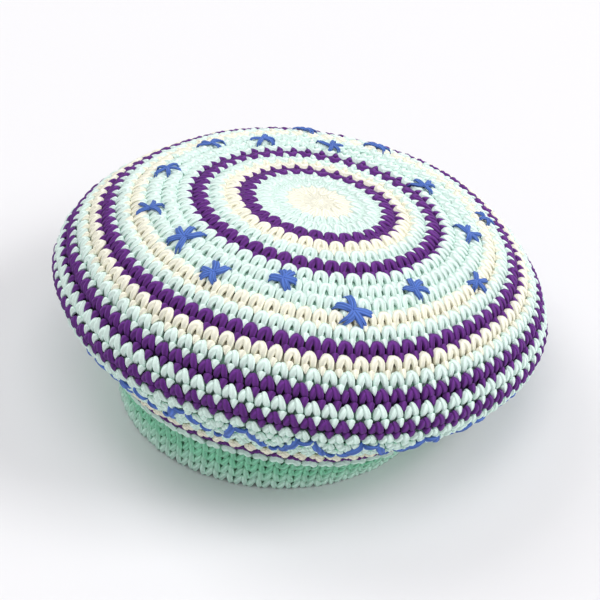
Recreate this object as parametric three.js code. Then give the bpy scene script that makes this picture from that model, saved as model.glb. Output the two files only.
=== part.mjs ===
// A puffy beret crocheted in rounds of coloured yarn, from the middle of the crown out to the rim,
// back under it and down to the head band. It stands on its band with the soft crown slumped back.
// Millimetres, +Z up, -Y towards the front.
import * as THREE from 'three';
import { mergeVertices } from 'three/addons/utils/BufferGeometryUtils.js';

// Driving sizes of the cloth
const CENTRE_RING = 1.4; // loop of yarn that the first round is worked into
const ROUND_PITCH = 8.9; // height of one round of stitches, measured along the cloth
const BAND_ROW_PITCH = 5.4; // height of one of the band's tighter rows
const WALL = 5.5; // thickness of the cloth
const ROUND_RELIEF = 1.2; // how far the crest of a round stands above the groove beside it
const BAND_RELIEF = 0.6; // the same for a row of the band
const STRIPE_GAP = 0.3; // clearance between neighbouring stripes
const AROUND = 42; // steps round the hat, seven to each of its six corners
const INNER_STEPS = 2; // most steps on the inside of one stripe

// How the standing hat is out of round: the slumped crown is a little longer than it is wide, it swells at
// the six places where each round's stitches increase, and it sags softly between three folds.
const OVAL = { share: 0.03, azimuth: THREE.MathUtils.degToRad(67) };
const SIX_CORNERS = { share: 0.007, count: 6, first: THREE.MathUtils.degToRad(-9) };
const THREE_SIDES = { share: 0.014, count: 3, first: THREE.MathUtils.degToRad(-42) };
const CORNERS_FULL_AT = 120; // distance from the centre at which the corners are fully grown
const FOOT_CENTRE = new THREE.Vector3(-10.9, -20.07, 0); // middle of the band's foot

// Stations along the cloth: each is one round seen as a tilted ring. along is the distance from the crown's
// centre, right and back are how far the ring's middle lies from the foot's, and list and pitch are how far
// the ring's plane drops to the right and to the back, in degrees.
const STATIONS = [
  { along: 0.0, radius: 0.0, height: 106.2, right: 17.6, back: 24.6, list: 8.5, pitch: 12.6 },
  { along: 41.4, radius: 41.4, height: 105.6, right: 17.6, back: 24.6, list: 8.4, pitch: 12.4 },
  { along: 68.1, radius: 67.2, height: 102.4, right: 17.3, back: 24.3, list: 7.9, pitch: 11.1 },
  { along: 94.8, radius: 91.8, height: 96.9, right: 16.9, back: 24.1, list: 7.1, pitch: 9.1 },
  { along: 121.5, radius: 114.2, height: 86.3, right: 15.8, back: 23.0, list: 6.7, pitch: 8.1 },
  { along: 148.2, radius: 131.1, height: 69.0, right: 14.1, back: 21.4, list: 6.6, pitch: 7.9 },
  { along: 166.0, radius: 136.2, height: 52.9, right: 12.0, back: 18.7, list: 6.8, pitch: 8.2 },
  { along: 184.7, radius: 127.4, height: 37.8, right: 9.5, back: 15.0, list: 6.7, pitch: 7.8 },
  { along: 201.6, radius: 113.4, height: 30.0, right: 7.8, back: 11.9, list: 6.3, pitch: 6.0 },
  { along: 217.0, radius: 101.4, height: 22.4, right: 5.9, back: 8.6, list: 5.9, pitch: 3.6 },
  { along: 223.9, radius: 96.4, height: 18.9, right: 5.1, back: 7.1, list: 5.6, pitch: 2.7 },
  { along: 229.9, radius: 92.0, height: 15.8, right: 4.3, back: 5.6, list: 4.9, pitch: 1.8 },
  { along: 250.9, radius: 85.6, height: 0.0, right: 0.0, back: 0.0, list: 0.0, pitch: 0.0 },
];
const COLUMNS = ['radius', 'height', 'right', 'back', 'list', 'pitch'];
const UP = new THREE.Vector3(0, 0, 1);
const BAND_TOP = STATIONS.at(-2).along;
const FOOT = STATIONS.at(-1).along;

// Colours of the yarn
const YARN = {
  cream: new THREE.MeshStandardMaterial({ color: 0xf6ecd2, roughness: 0.9, metalness: 0 }),
  mint: new THREE.MeshStandardMaterial({ color: 0xbfe8da, roughness: 0.9, metalness: 0 }),
  purple: new THREE.MeshStandardMaterial({ color: 0x4b1a78, roughness: 0.9, metalness: 0 }),
};

// Stripes from the crown's centre to the foot of the band
const STRIPES = [
  { name: 'crown_centre', yarn: 'cream', rounds: 2 },
  { name: 'crown_mint_1', yarn: 'mint', rounds: 2 },
  { name: 'crown_purple_1', yarn: 'purple', rounds: 1 },
  { name: 'crown_cream_1', yarn: 'cream', rounds: 1 },
  { name: 'crown_mint_2', yarn: 'mint', rounds: 1 },
  { name: 'crown_purple_2', yarn: 'purple', rounds: 1 },
  { name: 'star_field', yarn: 'mint', rounds: 3 },
  { name: 'crown_cream_2', yarn: 'cream', rounds: 1 },
  { name: 'crown_mint_3', yarn: 'mint', rounds: 1 },
  { name: 'crown_purple_3', yarn: 'purple', rounds: 1 },
  { name: 'crown_cream_3', yarn: 'cream', rounds: 1 },
  { name: 'crown_mint_4', yarn: 'mint', rounds: 1 },
  { name: 'crown_purple_4', yarn: 'purple', rounds: 1 },
  { name: 'rim_mint', yarn: 'mint', rounds: 1 },
  { name: 'rim_purple', yarn: 'purple', rounds: 1 },
  { name: 'underside', yarn: 'mint', rounds: 4 },
  { name: 'underside_cream', yarn: 'cream', rounds: 1 },
  { name: 'underside_purple', yarn: 'purple', rounds: 1 },
  { name: 'head_band', yarn: 'mint', rounds: 5 },
];

// A station's values at any distance: a cubic through the table whose slopes average the neighbouring spans.
function stationAt(along) {
  const last = STATIONS.length - 2;
  const found = STATIONS.findIndex((station) => station.along > along) - 1;
  const i = found < 0 ? last : Math.min(found, last);
  const [from, to] = [STATIONS[i], STATIONS[i + 1]];
  const span = to.along - from.along;
  const t = (along - from.along) / span;
  const rise = (a, b, column) => (b[column] - a[column]) / (b.along - a.along);
  const values = {};
  for (const column of COLUMNS) {
    const here = rise(from, to, column);
    const before = i > 0 ? rise(STATIONS[i - 1], from, column) : here;
    const after = i < last ? rise(to, STATIONS[i + 2], column) : here;
    const startSlope = 0.5 * (before + here) * span;
    const endSlope = 0.5 * (here + after) * span;
    values[column] =
      from[column] * (2 * t ** 3 - 3 * t ** 2 + 1) +
      startSlope * (t ** 3 - 2 * t ** 2 + t) +
      to[column] * (3 * t ** 2 - 2 * t ** 3) +
      endSlope * (t ** 3 - t ** 2);
  }
  return values;
}

// Falls from 1 above the band to 0 at its foot, where the hat is level and round.
function slack(along) {
  return 1 - THREE.MathUtils.smoothstep(along, BAND_TOP, FOOT);
}

// Share by which a round swells at its corners, for an angle round the hat.
function corners(angle, along) {
  const grown = Math.min(along / CORNERS_FULL_AT, 1) * slack(along);
  const waves = [SIX_CORNERS, THREE_SIDES].map((w) => w.share * Math.cos(w.count * (angle - w.first)));
  return 1 + grown * (waves[0] + waves[1]);
}

// Outer face of the cloth: a point on the tilted ring at this distance along it.
function clothPoint(along, angle) {
  const { radius, height, right, back, list, pitch } = stationAt(along);
  const reach = radius * corners(angle, along);
  const oval = 1 + OVAL.share * slack(along);
  const lengthwise = reach * oval * Math.cos(angle - OVAL.azimuth);
  const across = (reach / oval) * Math.sin(angle - OVAL.azimuth);
  const tilt = new THREE.Euler(-THREE.MathUtils.degToRad(pitch), THREE.MathUtils.degToRad(list), 0);
  const point = new THREE.Vector3(lengthwise, across, 0).applyAxisAngle(UP, OVAL.azimuth).applyEuler(tilt);
  return point.add(new THREE.Vector3(right, back, height)).add(FOOT_CENTRE);
}

// Outward direction of the cloth, turned level at the foot so that the band's end is flat on the table.
function clothNormal(along, angle) {
  const step = 0.05;
  const near = Math.max(along, step);
  const down = clothPoint(near + step, angle).sub(clothPoint(near - step, angle));
  const round = clothPoint(near, angle + step / 10).sub(clothPoint(near, angle - step / 10));
  const normal = down.cross(round).normalize();
  normal.z *= slack(along);
  return normal.normalize();
}

// Section of one stripe: x runs along the cloth and y is the depth, with a crest on each round outside.
function stripeSection({ start, rounds, pitch, relief, endsAtFoot }) {
  const low = start === 0 ? 0 : start + STRIPE_GAP / 2;
  const high = endsAtFoot ? FOOT : start + rounds * pitch - STRIPE_GAP / 2;
  const points = [];
  const innerSteps = Math.min(rounds, INNER_STEPS);
  for (let i = 0; i <= innerSteps; i += 1) {
    points.push(new THREE.Vector2(low + ((high - low) * i) / innerSteps, -WALL));
  }
  for (let i = 2 * rounds; i >= 0; i -= 1) {
    points.push(new THREE.Vector2(low + ((high - low) * i) / (2 * rounds), i % 2 === 0 ? -relief : 0));
  }
  if (low > 0) {
    points.push(points[0].clone());
  }
  return points;
}

// Drops the slivers that a lathe leaves where its outline meets the axis.
function withoutSlivers(geometry) {
  const index = geometry.index.array;
  const kept = [];
  for (let i = 0; i < index.length; i += 3) {
    const [a, b, c] = [index[i], index[i + 1], index[i + 2]];
    if (a !== b && b !== c && c !== a) {
      kept.push(a, b, c);
    }
  }
  geometry.setIndex(kept);
  return geometry;
}

// A stripe turned flat on a lathe, then draped: its lathe radius becomes the distance along the cloth.
function stripeGeometry(stripe) {
  const lathe = new THREE.LatheGeometry(stripeSection(stripe), AROUND);
  lathe.deleteAttribute('normal');
  lathe.deleteAttribute('uv');
  const geometry = withoutSlivers(mergeVertices(lathe));
  const position = geometry.attributes.position;
  const flat = new THREE.Vector3();
  for (let i = 0; i < position.count; i += 1) {
    flat.fromBufferAttribute(position, i);
    const along = Math.min(Math.hypot(flat.x, flat.z), FOOT);
    const angle = Math.atan2(flat.x, flat.z);
    const draped = clothPoint(along, angle).addScaledVector(clothNormal(along, angle), flat.y);
    position.setXYZ(i, draped.x, draped.y, draped.z);
  }
  geometry.computeVertexNormals();
  return geometry;
}

const beret = new THREE.Group();
let start = 0;
for (const { name, yarn, rounds } of STRIPES) {
  const endsAtFoot = name === 'head_band';
  const centre = start === 0 ? CENTRE_RING / rounds : 0;
  const pitch = (endsAtFoot ? BAND_ROW_PITCH : ROUND_PITCH) + centre;
  const relief = endsAtFoot ? BAND_RELIEF : ROUND_RELIEF;
  const mesh = new THREE.Mesh(stripeGeometry({ start, rounds, pitch, relief, endsAtFoot }), YARN[yarn]);
  mesh.name = name;
  beret.add(mesh);
  start += rounds * pitch;
}

export default beret;
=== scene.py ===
"""Looks of a crocheted beret: its stitches, its embroidery, the light and the camera.

The cloth is one smooth surface with two parameters: the distance along it from the crown's centre, and the
angle round the hat. Every strand of yarn is an oval profile carried along a short path on that surface.
Lengths are in metres, +Z is up and the front of the hat faces -Y.
"""

import logging
import math
from dataclasses import dataclass, field
from enum import Enum
from typing import Any, NamedTuple, Sequence

import bpy
import numpy as np
from mathutils import Matrix, Vector


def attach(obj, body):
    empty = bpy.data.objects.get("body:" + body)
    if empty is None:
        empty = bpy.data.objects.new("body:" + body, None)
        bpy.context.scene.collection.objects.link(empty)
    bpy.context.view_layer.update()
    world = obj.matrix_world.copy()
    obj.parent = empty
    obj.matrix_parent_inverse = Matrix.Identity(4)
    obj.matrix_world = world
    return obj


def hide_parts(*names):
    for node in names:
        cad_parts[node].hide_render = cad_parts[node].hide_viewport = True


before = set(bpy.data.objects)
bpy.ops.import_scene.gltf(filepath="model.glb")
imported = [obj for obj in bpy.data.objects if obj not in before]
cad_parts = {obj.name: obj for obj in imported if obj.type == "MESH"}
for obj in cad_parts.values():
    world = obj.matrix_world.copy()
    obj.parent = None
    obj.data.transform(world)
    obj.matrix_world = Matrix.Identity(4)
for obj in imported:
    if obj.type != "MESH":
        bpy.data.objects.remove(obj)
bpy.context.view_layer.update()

LOG = logging.getLogger("beret")
BODY = "root"
FULL_TURN = 2.0 * math.pi
IMAGE_SIDE = 600.0  # pixels, the side of the square photograph
TIP = 0.40  # length of a strand's rounded tip, as a share of its half width
NEAR_CENTRE = 1e-4  # least distance of a strand from the crown's centre
SLOPE_STEP = 5e-5  # half of the span over which the cloth's slope is taken along it
SLOPE_TURN = 5e-3  # the same round the hat, in radians
SHORTEST = 1e-12  # keeps a vector of no length from dividing by zero
YARN_SEED = 11  # for the small differences between the stitches
EMBROIDERY_SEED = 5  # for those between the embroidered strokes
SHADE_START = 0.0008  # depth below the cloth's face at which painted shade starts to darken a strand's colour
SHADE_SPAN = 0.0040  # further depth over which the painted shade grows full
Array = np.ndarray


class Yarn(Enum):
    """The four yarns, each by the name of its slot in the record."""

    MINT = "mint_yarn"
    CREAM = "cream_yarn"
    PURPLE = "purple_yarn"
    BLUE = "blue_yarn"


class Station(NamedTuple):
    """One round of the cloth, seen as a tilted ring.

    right and back are how far the ring's middle lies from the foot's, and the two drops are how far its
    plane falls to the right and to the back, in degrees.
    """

    along: float
    radius: float
    height: float
    right: float
    back: float
    right_drop: float
    back_drop: float


class Stripe(NamedTuple):
    """A run of rounds worked in one yarn, which dresses one solid."""

    node: str
    yarn: Yarn
    rounds: int


class Knot(NamedTuple):
    """A place on a strand's path: shares of the stitch's width, but along is a share of the round's height.

    crest is the height of the strand's top over the cloth, and half_width is half of its breadth.
    """

    across: float
    along: float
    crest: float
    half_width: float


class Star(NamedTuple):
    """An embroidered star: its middle in the photograph's pixels, its reach and its strands' half width.

    Its arms point six ways, of which one is missing. turn is the first one's way seen from above, in
    degrees anticlockwise from the right.
    """

    x: float
    y: float
    reach: float
    turn: float
    missing: int
    half_width: float


class Stroke(NamedTuple):
    """One straight stitch of the zigzag: its ends, in repeats and rounds, and half of its breadth."""

    start: float
    start_round: float
    end: float
    end_round: float
    half_width: float


class Trend(NamedTuple):
    """A quantity that changes from round to round: its values at some rounds, with lines between them."""

    rounds: tuple[float, ...]
    values: tuple[float, ...]

    def at(self, number: float) -> float:
        """Its value at a round or a row of the band."""
        return float(np.interp(number, self.rounds, self.values))


STATIONS = (
    Station(0.0000, 0.0000, 0.1062, 0.0176, 0.0246, 8.5, 12.6),
    Station(0.0414, 0.0414, 0.1056, 0.0176, 0.0246, 8.4, 12.4),
    Station(0.0681, 0.0672, 0.1024, 0.0173, 0.0243, 7.9, 11.1),
    Station(0.0948, 0.0918, 0.0969, 0.0169, 0.0241, 7.1, 9.1),
    Station(0.1215, 0.1142, 0.0863, 0.0158, 0.0230, 6.7, 8.1),
    Station(0.1482, 0.1311, 0.0690, 0.0141, 0.0214, 6.6, 7.9),
    Station(0.1660, 0.1362, 0.0529, 0.0120, 0.0187, 6.8, 8.2),
    Station(0.1847, 0.1274, 0.0378, 0.0095, 0.0150, 6.7, 7.8),
    Station(0.2016, 0.1134, 0.0300, 0.0078, 0.0119, 6.3, 6.0),
    Station(0.2170, 0.1014, 0.0224, 0.0059, 0.0086, 5.9, 3.6),
    Station(0.2239, 0.0964, 0.0189, 0.0051, 0.0071, 5.6, 2.7),
    Station(0.2299, 0.0920, 0.0158, 0.0043, 0.0056, 4.9, 1.8),
    Station(0.2509, 0.0856, 0.0000, 0.0000, 0.0000, 0.0, 0.0),
)

STRIPES = (
    Stripe("crown_centre", Yarn.CREAM, 2),
    Stripe("crown_mint_1", Yarn.MINT, 2),
    Stripe("crown_purple_1", Yarn.PURPLE, 1),
    Stripe("crown_cream_1", Yarn.CREAM, 1),
    Stripe("crown_mint_2", Yarn.MINT, 1),
    Stripe("crown_purple_2", Yarn.PURPLE, 1),
    Stripe("star_field", Yarn.MINT, 3),
    Stripe("crown_cream_2", Yarn.CREAM, 1),
    Stripe("crown_mint_3", Yarn.MINT, 1),
    Stripe("crown_purple_3", Yarn.PURPLE, 1),
    Stripe("crown_cream_3", Yarn.CREAM, 1),
    Stripe("crown_mint_4", Yarn.MINT, 1),
    Stripe("crown_purple_4", Yarn.PURPLE, 1),
    Stripe("rim_mint", Yarn.MINT, 1),
    Stripe("rim_purple", Yarn.PURPLE, 1),
    Stripe("underside", Yarn.MINT, 4),
    Stripe("underside_cream", Yarn.CREAM, 1),
    Stripe("underside_purple", Yarn.PURPLE, 1),
    Stripe("head_band", Yarn.MINT, 5),
)

STARS = (
    Star(352, 311, 0.0130, 3, 1, 0.0014),
    Star(283, 280, 0.0092, -3, 4, 0.0014),
    Star(214, 274, 0.0094, 32, 5, 0.0012),
    Star(185, 238, 0.0138, 5, 5, 0.0012),
    Star(149, 210, 0.0104, 15, 4, 0.0008),
    Star(168, 170, 0.0104, 40, 1, 0.0008),
    Star(211, 145, 0.0106, 10, 4, 0.0009),
    Star(262, 140, 0.0100, 20, 2, 0.0009),
    Star(305, 131, 0.0096, 0, 4, 0.0008),
    Star(331, 147, 0.0098, 25, 3, 0.0008),
    Star(377, 148, 0.0102, 5, 4, 0.0009),
    Star(424, 187, 0.0106, 12, 4, 0.0009),
    Star(468, 234, 0.0114, 20, 3, 0.0010),
    Star(484, 219, 0.0080, 50, 0, 0.0008),
    Star(476, 282, 0.0094, 35, 2, 0.0010),
    Star(415, 290, 0.0102, 8, 4, 0.0011),
)

ZIGZAG = (
    Stroke(-0.01, 23.35, 0.09, 22.05, 0.0023),
    Stroke(0.06, 22.35, 0.17, 20.75, 0.0024),
    Stroke(0.17, 20.90, 0.40, 20.85, 0.0015),
    Stroke(0.41, 20.85, 0.59, 21.95, 0.0021),
    Stroke(0.59, 22.00, 0.73, 22.75, 0.0020),
    Stroke(0.76, 23.15, 0.92, 23.10, 0.0013),
)


def cubic_through(table: Array, where: Array) -> Array:
    """Cubic curve through a table whose first column rises.

    At each row the curve's slope is the mean of the slopes of the two spans beside it.

    Args:
        table: Rows of (place, value, value, ...).
        where: Places at which the values are wanted, of any shape.

    Returns:
        The values, in a last axis after the places' own.
    """
    places, values = table[:, 0], table[:, 1:]
    spans = np.diff(places)
    rises = np.diff(values, axis=0) / spans[:, None]
    slopes = np.concatenate([rises[:1], 0.5 * (rises[1:] + rises[:-1]), rises[-1:]])
    i = np.clip(np.searchsorted(places, where, side="right") - 1, 0, len(spans) - 1)
    h = spans[i][..., None]
    t = (where - places[i])[..., None] / h
    return (
        values[i] * (2 * t**3 - 3 * t**2 + 1)
        + slopes[i] * h * (t**3 - 2 * t**2 + t)
        + values[i + 1] * (3 * t**2 - 2 * t**3)
        + slopes[i + 1] * h * (t**3 - t**2)
    )


def eased(share: Array) -> Array:
    """Smooth rise from 0 to 1: three squares of the share less two cubes, level below 0 and above 1."""
    t = np.clip(share, 0.0, 1.0)
    return t * t * (3.0 - 2.0 * t)


def unit(vectors: Array) -> Array:
    """The vectors of the last axis at length one."""
    return vectors / np.maximum(np.linalg.norm(vectors, axis=-1, keepdims=True), SHORTEST)


@dataclass(frozen=True)
class Cloth:
    """The hat's outer face: rings that slide and tilt to the back and right, where the crown slumps.

    Above the band the rings are a little longer one way, swell at six corners and sag between three folds.
    On the left the rim sags, and the cloth below it is tucked in.
    """

    long_axis: float = math.radians(67)  # way in which the rings are longer
    oval: float = 0.03  # how much longer, as a share
    six_share: float = 0.007
    six_first: float = math.radians(-9)
    three_share: float = 0.014
    three_first: float = math.radians(-42)
    corners_full_at: float = 0.120  # distance along the cloth at which the corners are fully grown
    foot_centre: tuple[float, float, float] = (-0.0109, -0.02007, 0.0)
    wall: float = 0.0055
    sag_at: float = math.radians(193)  # way in which the rim sags
    sag_focus: float = 4.0  # the greater, the sooner the sag fades round the hat
    sag_shift: float = 0.0045
    sag_along: float = 0.172
    sag_span: float = 0.022
    tuck: float = 0.0035
    tuck_along: float = 0.188
    tuck_span: float = 0.013
    table: Array = field(default_factory=lambda: np.array(STATIONS))

    @property
    def band_top(self) -> float:
        """Distance along the cloth at which the band starts to turn level."""
        return STATIONS[-2].along

    @property
    def foot(self) -> float:
        """Distance along the cloth of the band's foot."""
        return STATIONS[-1].along

    def slack(self, along: Array) -> Array:
        """Falls smoothly from 1 at the band's top to 0 at its foot, where the hat is level and round."""
        return 1.0 - eased((along - self.band_top) / (self.foot - self.band_top))

    def point(self, along: Array, angle: Array) -> Array:
        """Point of the outer face: the ring at this distance, swollen at its corners, slid and tilted.

        Where the rim sags, the rounds near it lie further out by a bell curve of the distance, and the
        rounds below it are tucked in by another. Both fade round the hat by a power of e of the cosine.

        Args:
            along: Distance from the crown's centre along the cloth.
            angle: Angle round the hat, anticlockwise from +X seen from above.

        Returns:
            Points, in a last axis of three.
        """
        along, angle = np.broadcast_arrays(along, angle)
        sag = np.exp(self.sag_focus * (np.cos(angle - self.sag_at) - 1.0))
        tucked = self.tuck * sag * np.exp(-np.square((along - self.tuck_along) / self.tuck_span))
        along = along + self.sag_shift * sag * np.exp(-np.square((along - self.sag_along) / self.sag_span))
        table = cubic_through(self.table, along)
        radius, height, right, back, right_drop, back_drop = np.moveaxis(table, -1, 0)
        loose = self.slack(along)
        six = self.six_share * np.cos(6 * (angle - self.six_first))
        three = self.three_share * np.cos(3 * (angle - self.three_first))
        grown = np.minimum(along / self.corners_full_at, 1.0) * loose
        reach = radius * (1 + grown * (six + three)) - tucked
        oval = 1 + self.oval * loose
        lengthwise = reach * oval * np.cos(angle - self.long_axis)
        across = reach / oval * np.sin(angle - self.long_axis)
        x = lengthwise * math.cos(self.long_axis) - across * math.sin(self.long_axis)
        y = lengthwise * math.sin(self.long_axis) + across * math.cos(self.long_axis)
        to_right, to_back = np.radians(right_drop), np.radians(back_drop)
        fall = -x * np.sin(to_right)
        tilted = [
            x * np.cos(to_right) + right,
            y * np.cos(to_back) + fall * np.sin(to_back) + back,
            fall * np.cos(to_back) - y * np.sin(to_back) + height,
        ]
        return np.stack(tilted, -1) + np.array(self.foot_centre)

    def normal(self, along: Array, angle: Array) -> Array:
        """Outward direction of the face: the cross product of its slopes along and round the hat.

        It turns level towards the foot, so that the band ends flat on the floor.

        Args:
            along: Distance from the crown's centre along the cloth.
            angle: Angle round the hat.

        Returns:
            Unit vectors, in a last axis of three.
        """
        near = np.maximum(along, SLOPE_STEP)
        down = self.point(near + SLOPE_STEP, angle) - self.point(near - SLOPE_STEP, angle)
        round_ = self.point(near, angle + SLOPE_TURN) - self.point(near, angle - SLOPE_TURN)
        out = unit(np.cross(down, round_))
        out[..., 2] *= np.broadcast_to(self.slack(along), out.shape[:-1])
        return unit(out)

    def place(self, along: Array, angle: Array, lift: Array) -> Array:
        """Point at a height over the outer face."""
        return self.point(along, angle) + self.normal(along, angle) * np.asarray(lift)[..., None]

    def ring_radius(self, along: float) -> float:
        """Mean radius of the ring at this distance along the cloth."""
        return float(cubic_through(self.table, np.array(along))[0])


@dataclass(frozen=True)
class Gauge:
    """How the hat is worked: where each round starts, how many stitches it has and how they lie.

    Rounds are numbered from the crown's centre, and the rows of the band follow the last round.
    """

    centre_ring: float = 0.0014
    round_height: float = 0.0089
    band_row_height: float = 0.0054
    increase: int = 6  # stitches that a round has more than the one before
    plain_round: int = 15  # the one round with no increase before the full count
    full_count: int = 96
    last_full_round: int = 20
    last_round: int = 25  # before the band
    band_count: int = 70
    slip: float = -0.10  # shift of each round from the one before, in stitches
    lead: float = -0.27  # how far from the round its stitches start, in rounds
    last_even_round: int = 14  # in later rounds the stitches lean
    rounds_to_lean: int = 4
    # How far the rounds near the fold above the band are pushed along into it, in rounds
    crowding: Trend = Trend((20, 24, 25, 26, 27), (0.0, 0.42, -0.16, -0.42, 0.0))
    # Painted shade in the gaps between a round's stitches, least in the tight middle of the crown
    gap_shade: Trend = Trend((2, 6, 12, 17), (0.0, 0.32, 0.60, 0.75))
    # Painted shade over a whole round, for how far it lies in the depth of the fold
    fold_shade: Trend = Trend((17, 20, 23, 26, 27, 28, 30), (0.0, 0.20, 0.30, 0.35, 1.0, 1.0, 0.45))
    # Height of the wall behind a round's stitches, nearest in the tight middle of the crown
    wall_top: Trend = Trend((2, 4, 8, 16, 25, 30), (-0.0001, -0.0006, -0.0020, -0.0035, -0.0035, -0.0024))
    # Painted shade taken off the tone of the band's strands under the fold, and painted light added towards
    # the foot
    band_painted_light_and_shade: Trend = Trend((26, 27, 28, 30), (0.0, 1.8, 1.0, -0.7))
    # How far a round's strands are pressed in under the rim, in stitches
    flattening: Trend = Trend((20, 21, 25, 26), (0.0, 0.06, 0.06, 0.0))

    def start(self, number: float) -> float:
        """Distance along the cloth at which a round starts.

        Args:
            number: Round or row of the band, or a fraction for a place between two.

        Returns:
            The distance from the crown's centre: the heights of all the rounds and rows before it.
        """
        rounds = min(number - 1, self.last_round)
        rows = max(number - 1 - self.last_round, 0)
        return self.centre_ring + rounds * self.round_height + rows * self.band_row_height

    def seen_start(self, number: float) -> float:
        """Distance at which a round shows, as the last rounds before the band crowd into the fold."""
        return self.start(number) + self.crowding.at(number) * self.round_height

    def stitch_start(self, number: int) -> float:
        """Distance at which a round's stitches start: a little early, but not within the band."""
        lead = 0.0 if number > self.last_round + 1 else self.lead
        return self.seen_start(number) + lead * self.height(number)

    def height(self, number: int) -> float:
        """Height that a round or a row of the band shows."""
        return self.seen_start(number + 1) - self.seen_start(number)

    def count(self, number: int) -> int:
        """Stitches in a round: six more in all but one up to the full count, then fewer down to the band's.

        Args:
            number: Round or row of the band.

        Returns:
            How many stitches share the full turn.
        """
        if number <= self.last_full_round:
            increases = number if number < self.plain_round else number - 1
            return min(self.increase * increases, self.full_count)
        share = min((number - self.last_full_round) / (self.last_round - self.last_full_round), 1.0)
        return round(self.full_count + (self.band_count - self.full_count) * share)

    def phase(self, number: int) -> float:
        """Shift of a round's stitches, in stitches: a little more each round, and no more on the band."""
        return self.slip * min(number, self.last_round)

    def leaning(self, number: int) -> float:
        """How far a round's stitches lean: 0 for the even arches of the crown, 1 towards the rim."""
        return float(eased((number - self.last_even_round) / self.rounds_to_lean))


class Patch(NamedTuple):
    """A closed mesh as arrays: corner points, faces as runs of loops, strand coordinates, a tone that also
    carries painted shade, and a depth that sets the share of painted shade.
    """

    points: Array
    loops: Array
    sizes: Array
    uv: Array
    tone: Array
    depth: Array


def band_faces(rings: int, sides: int) -> tuple[Array, Array, Array]:
    """Faces of a grid that closes on itself both ways, as a ring with a hollow section does.

    Args:
        rings: Number of rings, the last of which meets the first.
        sides: Number of points in a ring.

    Returns:
        Loops as point numbers, the number of loops in each face, and (round, along) shares of each loop.
    """
    k, m = np.meshgrid(np.arange(rings), np.arange(sides), indexing="ij")
    near_row, far_row = k * sides, (k + 1) % rings * sides
    after = (m + 1) % sides
    quads = np.stack([near_row + m, far_row + m, far_row + after, near_row + after], -1).reshape(-1, 4)
    u = np.stack([m, m, m + 1, m + 1], -1).reshape(-1) / sides
    v = np.stack([k, k + 1, k + 1, k], -1).reshape(-1) / rings
    return quads.ravel(), np.full(len(quads), 4), np.stack([u, v], -1)


def tube_faces(rings: int, sides: int) -> tuple[Array, Array, Array]:
    """Faces of a tube of rings closed by a pole at each end: pole, rings, pole.

    They are the closed grid's faces without its last row, and a fan of triangles at each pole.

    Args:
        rings: Number of rings between the poles.
        sides: Number of points in a ring.

    Returns:
        Loops as point numbers, the number of loops in each face, and (round, along) shares of each loop.
    """
    grid_loops, grid_sizes, grid_uv = band_faces(rings, sides)
    faces = (rings - 1) * sides
    quads = grid_loops[:4 * faces] + 1
    quad_u, quad_v = grid_uv[:4 * faces].T
    s = np.arange(sides)
    after = (s + 1) % sides
    last_ring = 1 + faces
    start = np.stack([np.zeros(sides, int), 1 + s, 1 + after], -1)
    end = np.stack([np.full(sides, last_ring + sides), last_ring + after, last_ring + s], -1)
    start_u = np.stack([s + 0.5, s, s + 1], -1) / sides
    end_u = np.stack([s + 0.5, s + 1, s], -1) / sides
    start_v = np.broadcast_to([0, 1, 1], (sides, 3))
    end_v = np.broadcast_to([rings + 1, rings, rings], (sides, 3))
    loops = np.concatenate([quads, start.ravel(), end.ravel()])
    u = np.concatenate([quad_u, start_u.ravel(), end_u.ravel()])
    v = np.concatenate([quad_v * rings + 1, start_v.ravel(), end_v.ravel()]) / (rings + 1)
    sizes = np.concatenate([grid_sizes[:faces], np.full(2 * sides, 3)])
    return loops, sizes, np.stack([u, v], -1)


def sweep(cloth: Cloth, along: Array, angle: Array, crest: Array, half_width: Array, sides: int,
          flat: float, tone: Array) -> Patch:
    """Strands laid on the cloth: an oval profile carried along each path, with a rounded tip at each end.

    A ring's points are its middle plus the side direction times the half width and a cosine, plus the
    upward direction times the half height and a sine. The middle lies one half height below the crest.
    What would reach below the floor is pressed flat on it.

    Args:
        cloth: Surface that the strands lie on.
        along: Distance along the cloth, one row for each strand and one column for each ring.
        angle: Angle round the hat, in the same rows and columns.
        crest: Height of the strand's top over the cloth.
        half_width: Half of the strand's breadth.
        sides: Points in a ring.
        flat: Half height as a share of the half width.
        tone: How pale each strand is, usually from 0 to 1; on the band it also carries painted shade and
            painted light.

    Returns:
        All the strands as one patch.
    """
    strands, rings = along.shape
    half_height = half_width * flat
    middle = cloth.place(along, angle, crest - half_height)
    out = cloth.normal(along, angle)
    path = unit(np.gradient(middle, axis=1))
    side = unit(np.cross(path, out))
    up = np.cross(side, path)
    turn = FULL_TURN * np.arange(sides) / sides
    wide = (half_width[..., None] * np.cos(turn))[..., None] * side[:, :, None, :]
    high = (half_height[..., None] * np.sin(turn))[..., None] * up[:, :, None, :]
    body = (middle[:, :, None, :] + wide + high).reshape(strands, rings * sides, 3)
    start = middle[:, :1] - path[:, :1] * (TIP * half_width[:, :1, None])
    end = middle[:, -1:] + path[:, -1:] * (TIP * half_width[:, -1:, None])
    points = np.concatenate([start, body, end], axis=1)
    points[..., 2] = np.maximum(points[..., 2], 0.0)
    per_strand = rings * sides + 2
    loops, sizes, uv = tube_faces(rings, sides)
    first = per_strand * np.arange(strands)[:, None]
    lift = (crest - half_height)[..., None] + half_height[..., None] * np.sin(turn)
    # Painted shade: its share grows with the depth below the cloth's face, and is full at the tips
    painted_shade = np.clip((-lift - SHADE_START) / SHADE_SPAN, 0.0, 1.0).reshape(strands, -1)
    depth = np.concatenate([np.ones((strands, 1)), painted_shade, np.ones((strands, 1))], axis=1)
    return Patch(
        points.reshape(-1, 3),
        (loops[None] + first).ravel(),
        np.tile(sizes, strands),
        np.tile(uv, (strands, 1)),
        np.repeat(tone, per_strand),
        depth.ravel(),
    )


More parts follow.
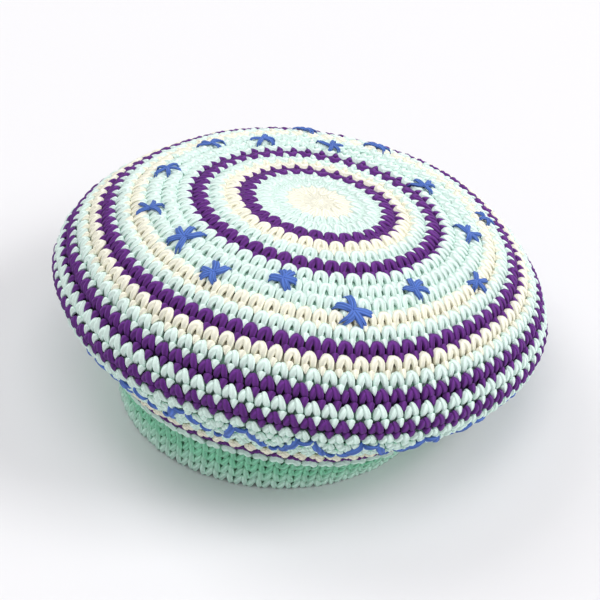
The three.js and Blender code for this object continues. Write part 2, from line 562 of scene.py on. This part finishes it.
def joined(patches: Sequence[Patch]) -> Patch:
    """One patch that holds several, one after another.

    Args:
        patches: The patches to join.

    Returns:
        Their arrays end to end, with each loop's point number moved on past the points before it.
    """
    firsts = np.cumsum([0] + [len(patch.points) for patch in patches[:-1]])
    moved = [patch._replace(loops=patch.loops + first) for patch, first in zip(patches, firsts)]
    return Patch(*(np.concatenate(arrays) for arrays in zip(*moved)))


def add_object(name: str, data: bpy.types.ID) -> bpy.types.Object:
    """Puts a mesh, a camera or a light into the scene.

    Args:
        name: Name of the object.
        data: What it holds.

    Returns:
        The object, at the origin.
    """
    made = bpy.data.objects.new(name, data)
    bpy.context.scene.collection.objects.link(made)
    return made


def mesh_object(name: str, patch: Patch, material: bpy.types.Material) -> bpy.types.Object:
    """Blender object of a patch, at the origin, smooth, with its coordinates, its tone and its share of
    painted shade.

    Args:
        name: Name of the piece.
        patch: Mesh to put into it.
        material: Its only material.

    Returns:
        The object, linked into the scene.
    """
    mesh = bpy.data.meshes.new(name)
    mesh.vertices.add(len(patch.points))
    mesh.vertices.foreach_set("co", patch.points.astype(np.float32).ravel())
    mesh.loops.add(len(patch.loops))
    mesh.loops.foreach_set("vertex_index", patch.loops.astype(np.int32))
    mesh.polygons.add(len(patch.sizes))
    starts = np.concatenate([[0], np.cumsum(patch.sizes)[:-1]])
    mesh.polygons.foreach_set("loop_start", starts.astype(np.int32))
    mesh.polygons.foreach_set("use_smooth", np.ones(len(patch.sizes), bool))
    mesh.update(calc_edges=True)
    mesh.uv_layers.new(name="strand").uv.foreach_set("vector", patch.uv.astype(np.float32).ravel())
    for label, values in (("tone", patch.tone), ("depth", patch.depth)):
        mesh.attributes.new(label, "FLOAT", "POINT").data.foreach_set("value", values.astype(np.float32))
    mesh.materials.append(material)
    return add_object(name, mesh)


def mirrored(knots: Sequence[Knot], slide: float) -> tuple[Knot, ...]:
    """The same strand on the stitch's other side, slid along by a share of the round."""
    return tuple(knot._replace(across=-knot.across, along=knot.along + slide) for knot in knots)


ARCH_LEFT = (
    Knot(0.060, 0.170, 0.035, 0.240),
    Knot(-0.080, 0.190, 0.070, 0.255),
    Knot(-0.205, 0.320, 0.095, 0.252),
    Knot(-0.245, 0.480, 0.080, 0.246),
    Knot(-0.270, 0.680, -0.010, 0.196),
    Knot(-0.262, 0.920, -0.190, 0.205),
)
ARCH_RIGHT = (
    Knot(-0.060, 0.170, 0.040, 0.240),
    Knot(0.080, 0.185, 0.075, 0.255),
    Knot(0.205, 0.310, 0.100, 0.252),
    Knot(0.245, 0.470, 0.085, 0.246),
    Knot(0.270, 0.670, -0.005, 0.196),
    Knot(0.262, 0.920, -0.185, 0.205),
)
LEAN_LEFT = (
    Knot(-0.185, 0.220, 0.000, 0.150),
    Knot(-0.245, 0.300, 0.060, 0.205),
    Knot(-0.285, 0.450, 0.095, 0.232),
    Knot(-0.303, 0.630, 0.060, 0.225),
    Knot(-0.300, 0.780, -0.060, 0.197),
    Knot(-0.285, 0.920, -0.230, 0.150),
)
LEAN_RIGHT = (
    Knot(-0.185, 0.060, 0.020, 0.120),
    Knot(-0.110, 0.150, 0.075, 0.185),
    Knot(0.005, 0.330, 0.110, 0.225),
    Knot(0.125, 0.540, 0.085, 0.232),
    Knot(0.222, 0.730, -0.045, 0.212),
    Knot(0.275, 0.890, -0.220, 0.160),
)
TOOTH = (
    Knot(-0.010, 0.930, -0.010, 0.245),
    Knot(0.000, 1.000, 0.050, 0.275),
    Knot(0.020, 1.140, 0.055, 0.215),
    Knot(0.045, 1.300, 0.015, 0.130),
    Knot(0.065, 1.450, -0.060, 0.040),
)
BAND_LEFT = (
    Knot(-0.105, -0.10, -0.080, 0.165),
    Knot(-0.155, 0.18, 0.030, 0.208),
    Knot(-0.250, 0.50, 0.085, 0.226),
    Knot(-0.345, 0.80, 0.040, 0.212),
    Knot(-0.385, 1.05, -0.070, 0.165),
)
BAND_SLIDE = -0.02  # how far along the band a right leg lies from the left one, in rows
BAND_RIGHT = mirrored(BAND_LEFT, BAND_SLIDE)
CREST = Knot._fields.index("crest")
HALF_WIDTH = Knot._fields.index("half_width")
LEANING_APEX = -0.14  # how far a leaning stitch's top lies to the left of its middle, in stitches
KNOB_CREST = 0.03  # least crest of the band's last row, whose strands end as round knobs
KNOB_HALF_WIDTH = 0.21  # and their least half width
FOLD_LIFT = 0.10  # how far the band's first row rolls out over the rest, in stitches
FOLD_TOOTH_LIFT = 0.09  # how far the teeth of the last but one round stand out at the fold, in stitches


@dataclass
class CrochetStripe:
    """One stripe of the hat: two legs and a top loop for each stitch, on a wall that closes the gaps and
    carries painted shade.
    """

    stripe: Stripe
    first_round: int
    cloth: Cloth
    gauge: Gauge
    rng: np.random.Generator
    rings: int = 8
    sides: int = 8
    flat: float = 0.85  # a strand's height as a share of its breadth
    jitter: float = 0.022  # usual shift of a strand, in stitches
    breadth_jitter: float = 1.6  # how many times more its breadth varies, as a share
    wall_outer_rows: int = 2  # rows of faces to a round, on the wall's outer face
    wall_inner_rows: int = 6  # and on its inner face
    wall_columns: int = 3  # faces of the wall to a stitch
    wall_strands: float = 2.0  # lengths of the yarn's pattern to a round of the wall
    wall_bumps: float = 0.0007  # height of the bumps on its inner face
    wall_wave: float = 0.25  # share of the bumps that changes from stitch to stitch
    wall_shade_darkening: float = 4.5  # painted shade that the gaps' depth takes off the wall's tone
    foot_gap: float = 0.0006  # between the band's wall and the floor

    @property
    def is_band(self) -> bool:
        """Whether this is the head band."""
        return self.first_round > self.gauge.last_round

    @property
    def last_round(self) -> int:
        """Number of the stripe's last round or row."""
        return self.first_round + self.stripe.rounds - 1

    def strands(self, knots: Array, number: int, places: Array, count: int) -> Patch:
        """One kind of strand at each place of a round, each a little different from its neighbours.

        Args:
            knots: The strand's path, a row for each knot.
            number: Round whose height the path is measured in.
            places: Middles of the stitches, as angles.
            count: Stitches that share the full turn.

        Returns:
            The strands as one patch.
        """
        gauge = self.gauge
        start, height = gauge.stitch_start(number), gauge.height(number)
        width = FULL_TURN * self.cloth.ring_radius(max(start, 0.0) + 0.5 * height) / count
        table = np.column_stack([np.linspace(0.0, 1.0, len(knots)), knots])
        across, along, crest, half_width = cubic_through(table, np.linspace(0.0, 1.0, self.rings)).T
        shift, slide, swell, sway, rise = self.rng.normal(0.0, self.jitter, (5, len(places), 1))
        angle = places[:, None] + FULL_TURN / count * (across + shift + sway * (along - 0.5))
        breadth = width * half_width * (1.0 + self.breadth_jitter * swell)
        lowest = self.cloth.foot - TIP * breadth[:, -1:]
        down = np.clip(start + height * (along + slide), NEAR_CENTRE, lowest)
        lift = width * (crest + rise - gauge.flattening.at(number))
        # A strand's random tone, with the band's painted shade under the fold and painted light at its foot
        tone = self.rng.random(len(places)) - gauge.band_painted_light_and_shade.at(number)
        made = sweep(self.cloth, down, angle, lift, breadth, self.sides, self.flat, tone)
        # Painted shade: the fold's share for the whole round, plus the gaps' share by depth
        shade = gauge.fold_shade.at(number) + gauge.gap_shade.at(number) * made.depth
        return made._replace(depth=np.minimum(shade, 1.0))

    def places(self, number: int, offset: float = 0.0) -> Array:
        """Angles of a round's stitches, shifted by a share of a stitch."""
        count = self.gauge.count(number)
        return FULL_TURN * (np.arange(count) + self.gauge.phase(number) + offset) / count

    def legs(self, number: int) -> list[Array]:
        """Paths of a stitch's two legs: even arches in the crown, which lean towards the rim.

        On the band they are arches in the first row, and slant apart in the others.

        Args:
            number: Round or row of the band.

        Returns:
            The left leg's knots and the right leg's.
        """
        arches = [np.array(ARCH_LEFT), np.array(ARCH_RIGHT)]
        if not self.is_band:
            lean = self.gauge.leaning(number)
            leaning = [np.array(LEAN_LEFT), np.array(LEAN_RIGHT)]
            return [(1.0 - lean) * even + lean * slanted for even, slanted in zip(arches, leaning)]
        if number == self.first_round:
            for leg in arches:
                leg[:, CREST] += FOLD_LIFT
            return arches
        made = [np.array(BAND_LEFT), np.array(BAND_RIGHT)]
        if number == self.last_round:
            for leg in made:
                leg[1:, CREST] = np.maximum(leg[1:, CREST], KNOB_CREST)
                leg[1:, HALF_WIDTH] = np.maximum(leg[1:, HALF_WIDTH], KNOB_HALF_WIDTH)
        return made

    def stitches(self, number: int) -> list[Patch]:
        """Legs of a round, and the loops on their tops, which show as teeth between the next round's legs.

        Args:
            number: Round or row of the band.

        Returns:
            One patch for each kind of strand.
        """
        count = self.gauge.count(number)
        made = [self.strands(leg, number, self.places(number), count) for leg in self.legs(number)]
        if not self.is_band:
            over = number + 1
            offset = 0.5 + LEANING_APEX * self.gauge.leaning(over)
            tooth = np.array(TOOTH)
            if over == self.gauge.last_round:
                tooth[:, CREST] += FOLD_TOOTH_LIFT
            made.append(self.strands(tooth, number, self.places(over, offset), self.gauge.count(over)))
        return made

    def backing(self) -> Patch:
        """Wall behind the stitches: outer face flat, sunk and darkened by painted shade, inner face ribbed
        by rounds and stitches.

        The section runs outwards on the outer face and back on the inner one. The inner depth is the wall
        less a bump that falls to nothing by a raised cosine along each round, with a wave for each stitch.

        Returns:
            The wall as one patch, closed at the centre or as a ring.
        """
        rounds, gauge, last = self.stripe.rounds, self.gauge, self.last_round
        is_centre = self.first_round == 1
        low = 0.0 if is_centre else gauge.start(self.first_round)
        high = gauge.start(last + 1) - (self.foot_gap if self.is_band else 0.0)
        count = gauge.count(last)
        sides = self.wall_columns * count
        outer = np.linspace(low, high, self.wall_outer_rows * rounds + 1)
        inner = np.linspace(high, low, self.wall_inner_rows * rounds + 1)
        along = np.concatenate([outer, inner])
        angle = FULL_TURN * np.arange(sides) / sides
        share = (inner - low) / (high - low) * rounds
        rib = 0.5 - 0.5 * np.cos(FULL_TURN * share)
        ripple = np.cos(count * angle[None] + math.pi * np.floor(share)[:, None])
        wave = 1.0 - self.wall_wave + self.wall_wave * ripple
        top, shade = gauge.wall_top.at(last), gauge.gap_shade.at(last)
        lift = np.concatenate([
            np.full((len(outer), sides), top),
            -self.cloth.wall + self.wall_bumps * (1.0 - rib[:, None] * wave),
        ])
        # The outer face takes the painted shade of the round's gaps, the inner face none
        depth = np.concatenate([np.full((len(outer), sides), shade), np.zeros((len(inner), sides))])
        if is_centre:
            along, lift, depth = along[1:-1], lift[1:-1], depth[1:-1]
        points = self.cloth.place(along[:, None], angle[None], lift).reshape(-1, 3)
        wall_shade_share = depth.ravel()
        if is_centre:
            poles = self.cloth.place(np.zeros(2), np.zeros(2), np.array([top, -self.cloth.wall]))
            points = np.concatenate([poles[:1], points, poles[1:]])
            wall_shade_share = np.concatenate([[shade], wall_shade_share, [0.0]])
        faces = tube_faces if is_centre else band_faces
        loops, sizes, uv = faces(len(along), sides)
        uv = uv * np.array([count, self.wall_strands * rounds])
        # Painted shade on the outer face, where the holes between stitches show it: the shade colour, and a
        # tone darkened by it
        return Patch(points, loops, sizes, uv, 0.5 - self.wall_shade_darkening * wall_shade_share, wall_shade_share)

    def build(self, material: bpy.types.Material) -> bpy.types.Object:
        """Makes the stripe, which rides on the hat and stands for its solid.

        Args:
            material: The yarn's material.

        Returns:
            The finished piece.
        """
        patches = [self.backing()]
        for number in range(self.first_round, self.last_round + 1):
            patches += self.stitches(number)
        piece = mesh_object(f"{self.stripe.node}_stitches", joined(patches), material)
        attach(piece, BODY)
        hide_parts(self.stripe.node)
        return piece


@dataclass
class View:
    """The photograph's camera: where the hat stands in it, and the way it looks down on the hat."""

    elevation: float = math.radians(40.5)
    roll: float = math.radians(3.4)
    distance: float = 1.3889
    lens: float = 150.0
    sensor: float = 36.0
    origin_x: float = 297.1
    origin_y: float = 358.6

    @property
    def focal(self) -> float:
        """Focal length in the photograph's pixels."""
        return self.lens / self.sensor * IMAGE_SIDE

    def axes(self) -> tuple[Array, Array, Array]:
        """Right, up and forward directions of a camera that looks at the origin.

        Returns:
            Three unit vectors.
        """
        sin_e, cos_e = math.sin(self.elevation), math.cos(self.elevation)
        forward = np.array([0.0, cos_e, -sin_e])
        level, upright = np.array([1.0, 0.0, 0.0]), np.array([0.0, sin_e, cos_e])
        right = math.cos(self.roll) * level + math.sin(self.roll) * upright
        up = math.cos(self.roll) * upright - math.sin(self.roll) * level
        return right, up, forward

    def pixels(self, points: Array) -> Array:
        """Pixels at which points show: their sideways parts over their depth, times the focal length.

        Args:
            points: Points, in a last axis of three.

        Returns:
            Pixel places, in a last axis of two.
        """
        right, up, forward = self.axes()
        scale = self.focal / (self.distance + points @ forward)
        x = self.origin_x + scale * (points @ right)
        y = self.origin_y - scale * (points @ up)
        return np.stack([x, y], -1)

    def add_camera(self) -> bpy.types.Object:
        """Camera that stands where the photograph's did and aims through the middle of the picture.

        Returns:
            The camera, set as the scene's.
        """
        right, up, forward = self.axes()
        aim = unit(forward + (IMAGE_SIDE / 2 - self.origin_x) / self.focal * right
                   - (IMAGE_SIDE / 2 - self.origin_y) / self.focal * up)
        right = unit(right - aim * (right @ aim))
        up = np.cross(right, aim)
        data = bpy.data.cameras.new("camera")
        data.lens = self.lens
        data.sensor_width = self.sensor
        camera = add_object("camera", data)
        turn = Matrix(np.stack([right, up, -aim], 1).tolist()).to_4x4()
        camera.matrix_world = Matrix.Translation(Vector(-forward * self.distance)) @ turn
        bpy.context.scene.camera = camera
        return camera


@dataclass
class Embroidery:
    """Blue straight stitches on the cloth: stars on the crown and a zigzag under the rim."""

    cloth: Cloth
    gauge: Gauge
    view: View
    rng: np.random.Generator
    rings: int = 6
    sides: int = 8
    flat: float = 0.8
    blunt: float = 0.25  # share of a stitch's breadth that is lost at a blunt end
    pointed: float = 0.70  # and at a pointed one
    end_dip: float = 1.7  # how far an end goes down, as a share of the height at the middle
    knot_dip: float = 0.6  # the same where the arms of a star meet
    star_proud: float = 0.0022
    star_rounds: tuple[int, int] = (8, 14)  # rounds between which the stars lie
    search_rows: int = 220
    search_columns: int = 1440
    directions: int = 6
    turn_jitter: float = 0.09
    arm_lengths: tuple[float, float] = (0.82, 1.1)  # least and greatest, as shares of the star's reach
    strand_lengths: tuple[float, float] = (0.85, 1.0)  # as shares of the arm's length
    strand_breadths: tuple[float, float] = (0.85, 1.15)
    tip_apart: float = 0.80  # how far an arm's strands lie from its middle line at the tip, in half widths
    knot_apart: float = 0.45  # and at the star's middle
    past_knot: float = 0.0007  # how far a strand starts past the star's middle
    bend: float = 0.10  # usual bow of an arm, as a share of its length
    zigzag_proud: float = 0.0015
    repeats: int = 24
    place_jitter: float = 0.012  # of a stroke's ends round the hat, in repeats
    round_jitter: float = 0.06  # and along the cloth, in rounds

    def straight(self, ends: Array, half_width: Array, proud: float, start_dip: float, tip: float,
                 bend: Array) -> Patch:
        """Stitches between pairs of places, whose ends go down into the cloth.

        The crest is an arch that falls with the fourth power of the distance from the stitch's middle. The
        breadth falls in the same way at the start, and with the square of that distance at the tip. The
        path bows sideways by a parabola.

        Args:
            ends: For each stitch: start along, start angle, end along, end angle.
            half_width: Half breadth of each stitch.
            proud: Height of the stitch's middle over the cloth.
            start_dip: How far the start goes down, as a share of the height at the middle.
            tip: Share of the breadth that is lost at the tip.
            bend: How far each stitch's middle is bowed, as (along, angle).

        Returns:
            The stitches as one patch.
        """
        t = np.linspace(0.0, 1.0, self.rings)
        bow = 4.0 * t * (1.0 - t)
        along = ends[:, :1] * (1 - t) + ends[:, 2:3] * t + bend[:, :1] * bow
        angle = ends[:, 1:2] * (1 - t) + ends[:, 3:4] * t + bend[:, 1:] * bow
        apart = np.abs(2.0 * t - 1.0)
        dip = np.where(t < 0.5, start_dip, self.end_dip)
        crest = np.broadcast_to(proud * (1.0 - dip * apart**4), along.shape)
        loss = np.where(t < 0.5, self.blunt * apart**4, tip * apart**2)
        width = half_width[:, None] * (1.0 - loss)
        tone = self.rng.random(len(ends))
        return sweep(self.cloth, along, angle, crest, width, self.sides, self.flat, tone)

    def star_places(self) -> Array:
        """Distance and angle of each star: the place of the crown that shows nearest to the star's pixel.

        Returns:
            A row of (along, angle) for each star.
        """
        first, last = self.star_rounds
        along = np.linspace(self.gauge.start(first), self.gauge.start(last), self.search_rows)
        angle = FULL_TURN * np.arange(self.search_columns) / self.search_columns
        grid = self.view.pixels(self.cloth.point(along[:, None], angle[None]))
        found = []
        for star in STARS:
            gap = np.square(grid - np.array([star.x, star.y])).sum(-1)
            row, column = np.unravel_index(np.argmin(gap), gap.shape)
            found.append((along[row], angle[column]))
        return np.array(found)

    def stars(self) -> Patch:
        """Stars: each arm is two strands that run side by side from just past the star's middle to its tip.

        Returns:
            All the stars as one patch.
        """
        ends, widths, bends = [], [], []
        for star, (along, angle) in zip(STARS, self.star_places()):
            radius = self.cloth.ring_radius(along)
            ways = np.delete(np.arange(self.directions), star.missing) / self.directions
            arms = len(ways)
            waver = self.rng.normal(0.0, self.turn_jitter, arms)
            turns = math.radians(star.turn) + FULL_TURN * ways + waver - angle
            reach = star.reach * self.rng.uniform(*self.arm_lengths, (arms, 1))
            out = np.stack([np.sin(turns), np.cos(turns)], -1)
            sideways = np.stack([np.cos(turns), -np.sin(turns)], -1)
            bow = self.bend * reach * self.rng.normal(0.0, 1.0, (arms, 1)) * sideways
            for hand in (-1.0, 1.0):
                near = -self.past_knot * out + hand * self.knot_apart * star.half_width * sideways
                length = reach * self.rng.uniform(*self.strand_lengths, (arms, 1))
                far = length * out + hand * self.tip_apart * star.half_width * sideways
                ends.append(np.stack([along + near[:, 1], angle + near[:, 0] / radius,
                                      along + far[:, 1], angle + far[:, 0] / radius], -1))
                widths.append(star.half_width * self.rng.uniform(*self.strand_breadths, arms))
                bends.append(np.stack([bow[:, 1], bow[:, 0] / radius], -1))
        return self.straight(np.concatenate(ends), np.concatenate(widths), self.star_proud, self.knot_dip,
                             self.pointed, np.concatenate(bends))

    def zigzag(self) -> Patch:
        """Zigzag: the strokes of one repeat, turned round the hat, each a little out of place.

        Returns:
            All the strokes as one patch.
        """
        ends, widths = [], []
        for repeat in range(self.repeats):
            for stroke in ZIGZAG:
                start, end, top, bottom = self.rng.normal(0.0, 1.0, 4)
                ends.append((
                    self.gauge.start(stroke.start_round + self.round_jitter * top),
                    FULL_TURN * (repeat + stroke.start + self.place_jitter * start) / self.repeats,
                    self.gauge.start(stroke.end_round + self.round_jitter * bottom),
                    FULL_TURN * (repeat + stroke.end + self.place_jitter * end) / self.repeats,
                ))
                widths.append(stroke.half_width)
        unbent = np.zeros((len(ends), 2))
        return self.straight(np.array(ends), np.array(widths), self.zigzag_proud, self.end_dip,
                             self.blunt, unbent)

    def build(self, material: bpy.types.Material) -> list[bpy.types.Object]:
        """Makes the stars and the zigzag, which ride on the hat.

        Args:
            material: The blue yarn's material.

        Returns:
            The two pieces.
        """
        pieces = []
        for name, patch in (("stars", self.stars()), ("zigzag", self.zigzag())):
            piece = mesh_object(name, patch, material)
            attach(piece, BODY)
            pieces.append(piece)
        return pieces


class Wire:
    """A node's output whose arithmetic adds Math nodes to the same sheet."""

    def __init__(self, sheet: "Sheet", socket: bpy.types.NodeSocket) -> None:
        """Keeps the sheet and the socket."""
        self.sheet = sheet
        self.socket = socket

    def math(self, operation: str, *values: Any) -> "Wire":
        """Result of a Math node on these values, in order."""
        return self.sheet.add("ShaderNodeMath", {"operation": operation}, dict(enumerate(values)))

    def __add__(self, other: Any) -> "Wire":
        """This plus another."""
        return self.math("ADD", self, other)

    def __sub__(self, other: Any) -> "Wire":
        """This minus another."""
        return self.math("SUBTRACT", self, other)

    def __rsub__(self, other: Any) -> "Wire":
        """A number minus this."""
        return self.math("SUBTRACT", other, self)

    def __mul__(self, other: Any) -> "Wire":
        """This times another."""
        return self.math("MULTIPLY", self, other)

    __radd__ = __add__
    __rmul__ = __mul__

    def sin(self) -> "Wire":
        """Sine of this, in radians."""
        return self.math("SINE", self)


class Sheet:
    """A material and its nodes, which are all added by one method."""

    def __init__(self, name: str) -> None:
        """Starts a material with no nodes.

        Args:
            name: The material's name.
        """
        self.material = bpy.data.materials.new(name)
        self.material.use_nodes = True
        self.tree = self.material.node_tree
        self.tree.nodes.clear()

    def add(self, kind: str, settings: dict[str, Any], sockets: dict[Any, Any], output: Any = 0) -> Wire:
        """Adds a node.

        Args:
            kind: The node's type.
            settings: The node's own settings, which are set first.
            sockets: Values or wires for its inputs, by name or number.
            output: Name or number of the output that is wanted.

        Returns:
            That output as a wire.
        """
        node = self.tree.nodes.new(kind)
        for key, value in settings.items():
            setattr(node, key, value)
        for key, value in sockets.items():
            if isinstance(value, Wire):
                self.tree.links.new(value.socket, node.inputs[key])
            else:
                node.inputs[key].default_value = value
        return Wire(self, node.outputs[output])

    def mix(self, share: Any, low: Any, high: Any) -> Wire:
        """Colour between two colours, by a share from 0 to 1."""
        return self.add("ShaderNodeMix", {"data_type": "RGBA"}, {0: share, 6: low, 7: high}, 2)

    def finished(self, shader: Wire) -> bpy.types.Material:
        """The material, with this shader as its surface.

        Args:
            shader: Output of the shader node.

        Returns:
            The finished material.
        """
        end = self.tree.nodes.new("ShaderNodeOutputMaterial")
        self.tree.links.new(shader.socket, end.inputs["Surface"])
        return self.material


@dataclass(frozen=True)
class YarnFinish:
    """Soft matt yarn of twisted plies: paler on its crests and darker in the depths between stitches, by
    painted shade.
    """

    yarn: Yarn
    crest: tuple[float, float, float]
    # colour of the painted shade, in the gaps between stitches and in the fold above the band
    painted_shade: tuple[float, float, float]
    shade_power: float = 1.4  # power of the depth by which the painted shade darkens the colour
    plies: float = 4.0
    lay: float = 1.0  # plies by which the twist moves on along a strand
    # painted shade in the plies' grooves and painted highlight on their crests
    ply_shade_and_highlight: float = 0.26
    ply_relief: float = 0.0004
    fibres_round: float = 9.0  # cells of the fibres' noise round a strand, before its scale
    fibres_along: float = 2.0  # and along it
    fibre_change: float = 37.0  # shift of that noise from strand to strand
    fibre_scale: float = 2.2
    fibre_detail: float = 3.0
    fibre_fineness: float = 0.6
    fibre_contrast: float = 0.20
    fibre_relief: float = 0.0002
    unevenness: float = 0.10  # how far the value varies with a strand's tone
    relief_strength: float = 0.8
    roughness: float = 0.86
    roughness_spread: float = 0.12
    sheen: float = 0.20
    sheen_roughness: float = 0.5
    specular: float = 0.25

    def material(self) -> bpy.types.Material:
        """Yarn's material.

        The ply wave is half the sine of the plies round the strand plus their lay along it. Fibres are
        noise stretched along the strand, less its middle value. Both raise the bump and tint the colour;
        the ply wave's tint is painted shade in the grooves between plies and painted highlight on them.

        Returns:
            The finished material.
        """
        sheet = Sheet(self.yarn.value)
        uv = sheet.add("ShaderNodeUVMap", {"uv_map": "strand"}, {})
        around = sheet.add("ShaderNodeSeparateXYZ", {}, {0: uv})
        along = Wire(sheet, around.socket.node.outputs[1])
        tone = sheet.add("ShaderNodeAttribute", {"attribute_name": "tone"}, {}, "Fac")
        depth = sheet.add("ShaderNodeAttribute", {"attribute_name": "depth"}, {}, "Fac")
        ply = 0.5 * (around * (FULL_TURN * self.plies) + along * (FULL_TURN * self.lay)).sin()
        stretched = sheet.add("ShaderNodeCombineXYZ", {}, {
            0: around * self.fibres_round,
            1: along * self.fibres_along,
            2: tone * self.fibre_change,
        })
        fibre = sheet.add("ShaderNodeTexNoise", {"noise_dimensions": "3D"}, {
            "Vector": stretched,
            "Scale": self.fibre_scale,
            "Detail": self.fibre_detail,
            "Roughness": self.fibre_fineness,
        }) - 0.5
        # Painted shade: the crest colour goes over to the shade colour with the share of painted shade
        shade = depth.math("POWER", depth, self.shade_power)
        colour = sheet.mix(shade, (*self.crest, 1.0), (*self.painted_shade, 1.0))
        # The tint holds random tone and painted shade from the tone, painted shade and highlight from the
        # ply wave, and fibre texture
        tint = self.unevenness * (tone - 0.5) + self.ply_shade_and_highlight * ply + self.fibre_contrast * fibre
        tinted = sheet.add("ShaderNodeVectorMath", {"operation": "SCALE"}, {0: colour, "Scale": 1.0 + tint})
        bump = sheet.add("ShaderNodeBump", {}, {
            "Strength": self.relief_strength,
            "Distance": 1.0,
            "Height": self.ply_relief * ply + self.fibre_relief * fibre,
        })
        shader = sheet.add("ShaderNodeBsdfPrincipled", {}, {
            "Base Color": tinted,
            "Roughness": self.roughness + self.roughness_spread * fibre,
            "Normal": bump,
            "Sheen Weight": self.sheen,
            "Sheen Roughness": self.sheen_roughness,
            "Specular IOR Level": self.specular,
        })
        return sheet.finished(shader)


# Each finish gives the yarn's colour on its crests, then the colour of its painted shade
FINISHES = (
    YarnFinish(Yarn.MINT, (0.765, 0.925, 0.87), (0.33, 0.82, 0.55)),
    YarnFinish(Yarn.CREAM, (0.96, 0.935, 0.785), (0.84, 0.76, 0.54)),
    YarnFinish(Yarn.PURPLE, (0.126, 0.024, 0.220), (0.012, 0.003, 0.026), sheen=0.08, ply_shade_and_highlight=0.52),
    YarnFinish(Yarn.BLUE, (0.082, 0.170, 0.540), (0.014, 0.032, 0.150), sheen=0.10, ply_shade_and_highlight=0.44),
)


class Lamp(NamedTuple):
    """A square soft light: where it stands, its side and its power in watts."""

    name: str
    x: float
    y: float
    z: float
    side: float
    watts: float


LAMPS = (
    Lamp("window", 6.13, 0.0, 5.14, 4.0, 325.0),
    Lamp("back", -4.33, 3.64, 5.66, 4.0, 188.0),
    Lamp("overhead", 0.0, -1.0, 7.94, 5.0, 184.0),
    Lamp("front", -1.5, -7.68, 1.66, 3.0, 15.0),
)


@dataclass
class Studio:
    """Pale floor and soft light.

    A window stands to the right, with weaker lights at the back left and overhead, a weak low one in front
    and even light from all round.
    """

    floor_half: float = 4.0
    floor_colour: tuple[float, float, float] = (0.83, 0.82, 0.84)
    floor_roughness: float = 0.9
    floor_specular: float = 0.1
    ambient: float = 0.43
    aim_height: float = 0.05

    def floor(self) -> bpy.types.Object:
        """Level floor at the foot of the band.

        Returns:
            The floor.
        """
        h = self.floor_half
        mesh = bpy.data.meshes.new("floor")
        mesh.from_pydata([(-h, -h, 0), (h, -h, 0), (h, h, 0), (-h, h, 0)], [], [(0, 1, 2, 3)])
        sheet = Sheet("floor")
        shader = sheet.add("ShaderNodeBsdfPrincipled", {}, {
            "Base Color": (*self.floor_colour, 1.0),
            "Roughness": self.floor_roughness,
            "Specular IOR Level": self.floor_specular,
        })
        mesh.materials.append(sheet.finished(shader))
        made = add_object("floor", mesh)
        return made

    def lamp(self, lamp: Lamp) -> None:
        """Adds a light that faces the hat.

        Args:
            lamp: Its place, size and power.
        """
        data = bpy.data.lights.new(lamp.name, "AREA")
        data.size = lamp.side
        data.energy = lamp.watts
        light = add_object(lamp.name, data)
        light.location = (lamp.x, lamp.y, lamp.z)
        light.rotation_mode = "QUATERNION"
        away = light.location - Vector((0, 0, self.aim_height))
        light.rotation_quaternion = away.to_track_quat("Z", "Y")

    def build(self) -> None:
        """Makes the floor, the lights and the world's light."""
        self.floor()
        for lamp in LAMPS:
            self.lamp(lamp)
        world = bpy.data.worlds.new("studio")
        world.use_nodes = True
        background = world.node_tree.nodes["Background"]
        background.inputs["Color"].default_value = (1.0, 1.0, 1.0, 1.0)
        background.inputs["Strength"].default_value = self.ambient
        scene = bpy.context.scene
        scene.world = world
        scene.view_settings.view_transform = "Standard"


def main() -> None:
    """Builds the camera, the stripes, the embroidery and the studio, and reports each piece."""
    logging.basicConfig(level=logging.INFO, format="%(name)s: %(message)s")
    cloth, gauge, view = Cloth(), Gauge(), View()
    view.add_camera()
    materials = {finish.yarn: finish.material() for finish in FINISHES}
    rng = np.random.default_rng(YARN_SEED)
    pieces = []
    number = 1
    for stripe in STRIPES:
        pieces.append(CrochetStripe(stripe, number, cloth, gauge, rng).build(materials[stripe.yarn]))
        number += stripe.rounds
    embroidery = Embroidery(cloth, gauge, view, np.random.default_rng(EMBROIDERY_SEED))
    pieces += embroidery.build(materials[Yarn.BLUE])
    for piece in pieces:
        LOG.info("%s: %d faces", piece.name, len(piece.data.polygons))
    Studio().build()


if __name__ == "__main__":
    main()
